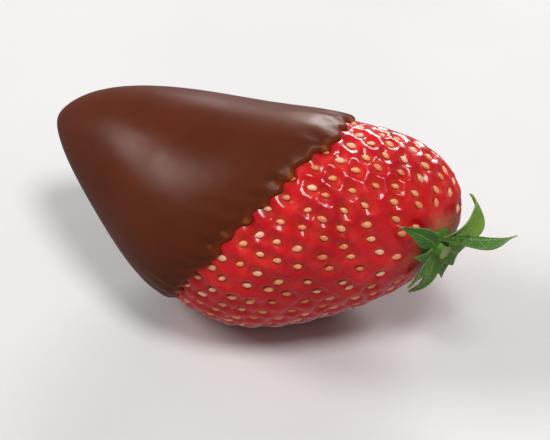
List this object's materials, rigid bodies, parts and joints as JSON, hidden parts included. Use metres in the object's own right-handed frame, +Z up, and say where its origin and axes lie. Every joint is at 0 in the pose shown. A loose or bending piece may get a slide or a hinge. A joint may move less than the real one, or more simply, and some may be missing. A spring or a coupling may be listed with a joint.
{
  "type": "chocolate coated strawberry",
  "caption": "Whole fresh strawberry lying on its side, its pointed end dipped in dark chocolate up to a slanting line, with its green leafy calyx left on.",
  "frame": {"origin": "middle of the bounding box's bottom, on the surface that the fruit lies on", "axes": "+X from the dipped tip towards the calyx, along the fruit; +Z up"},
  "size_m": [0.0648, 0.0294, 0.0287],
  "materials": {
    "fruit_skin": "glossy wet-looking red fruit skin with sunken yellow seeds, paler towards the calyx",
    "dark_chocolate": "smooth satin set chocolate",
    "leaf_green": "soft matt leaf with pale veins and edges"
  },
  "bodies": {
    "root": {"fruit": "fruit_skin", "chocolate_shell": "dark_chocolate", "calyx": "leaf_green"}
  },
  "joints": []
}
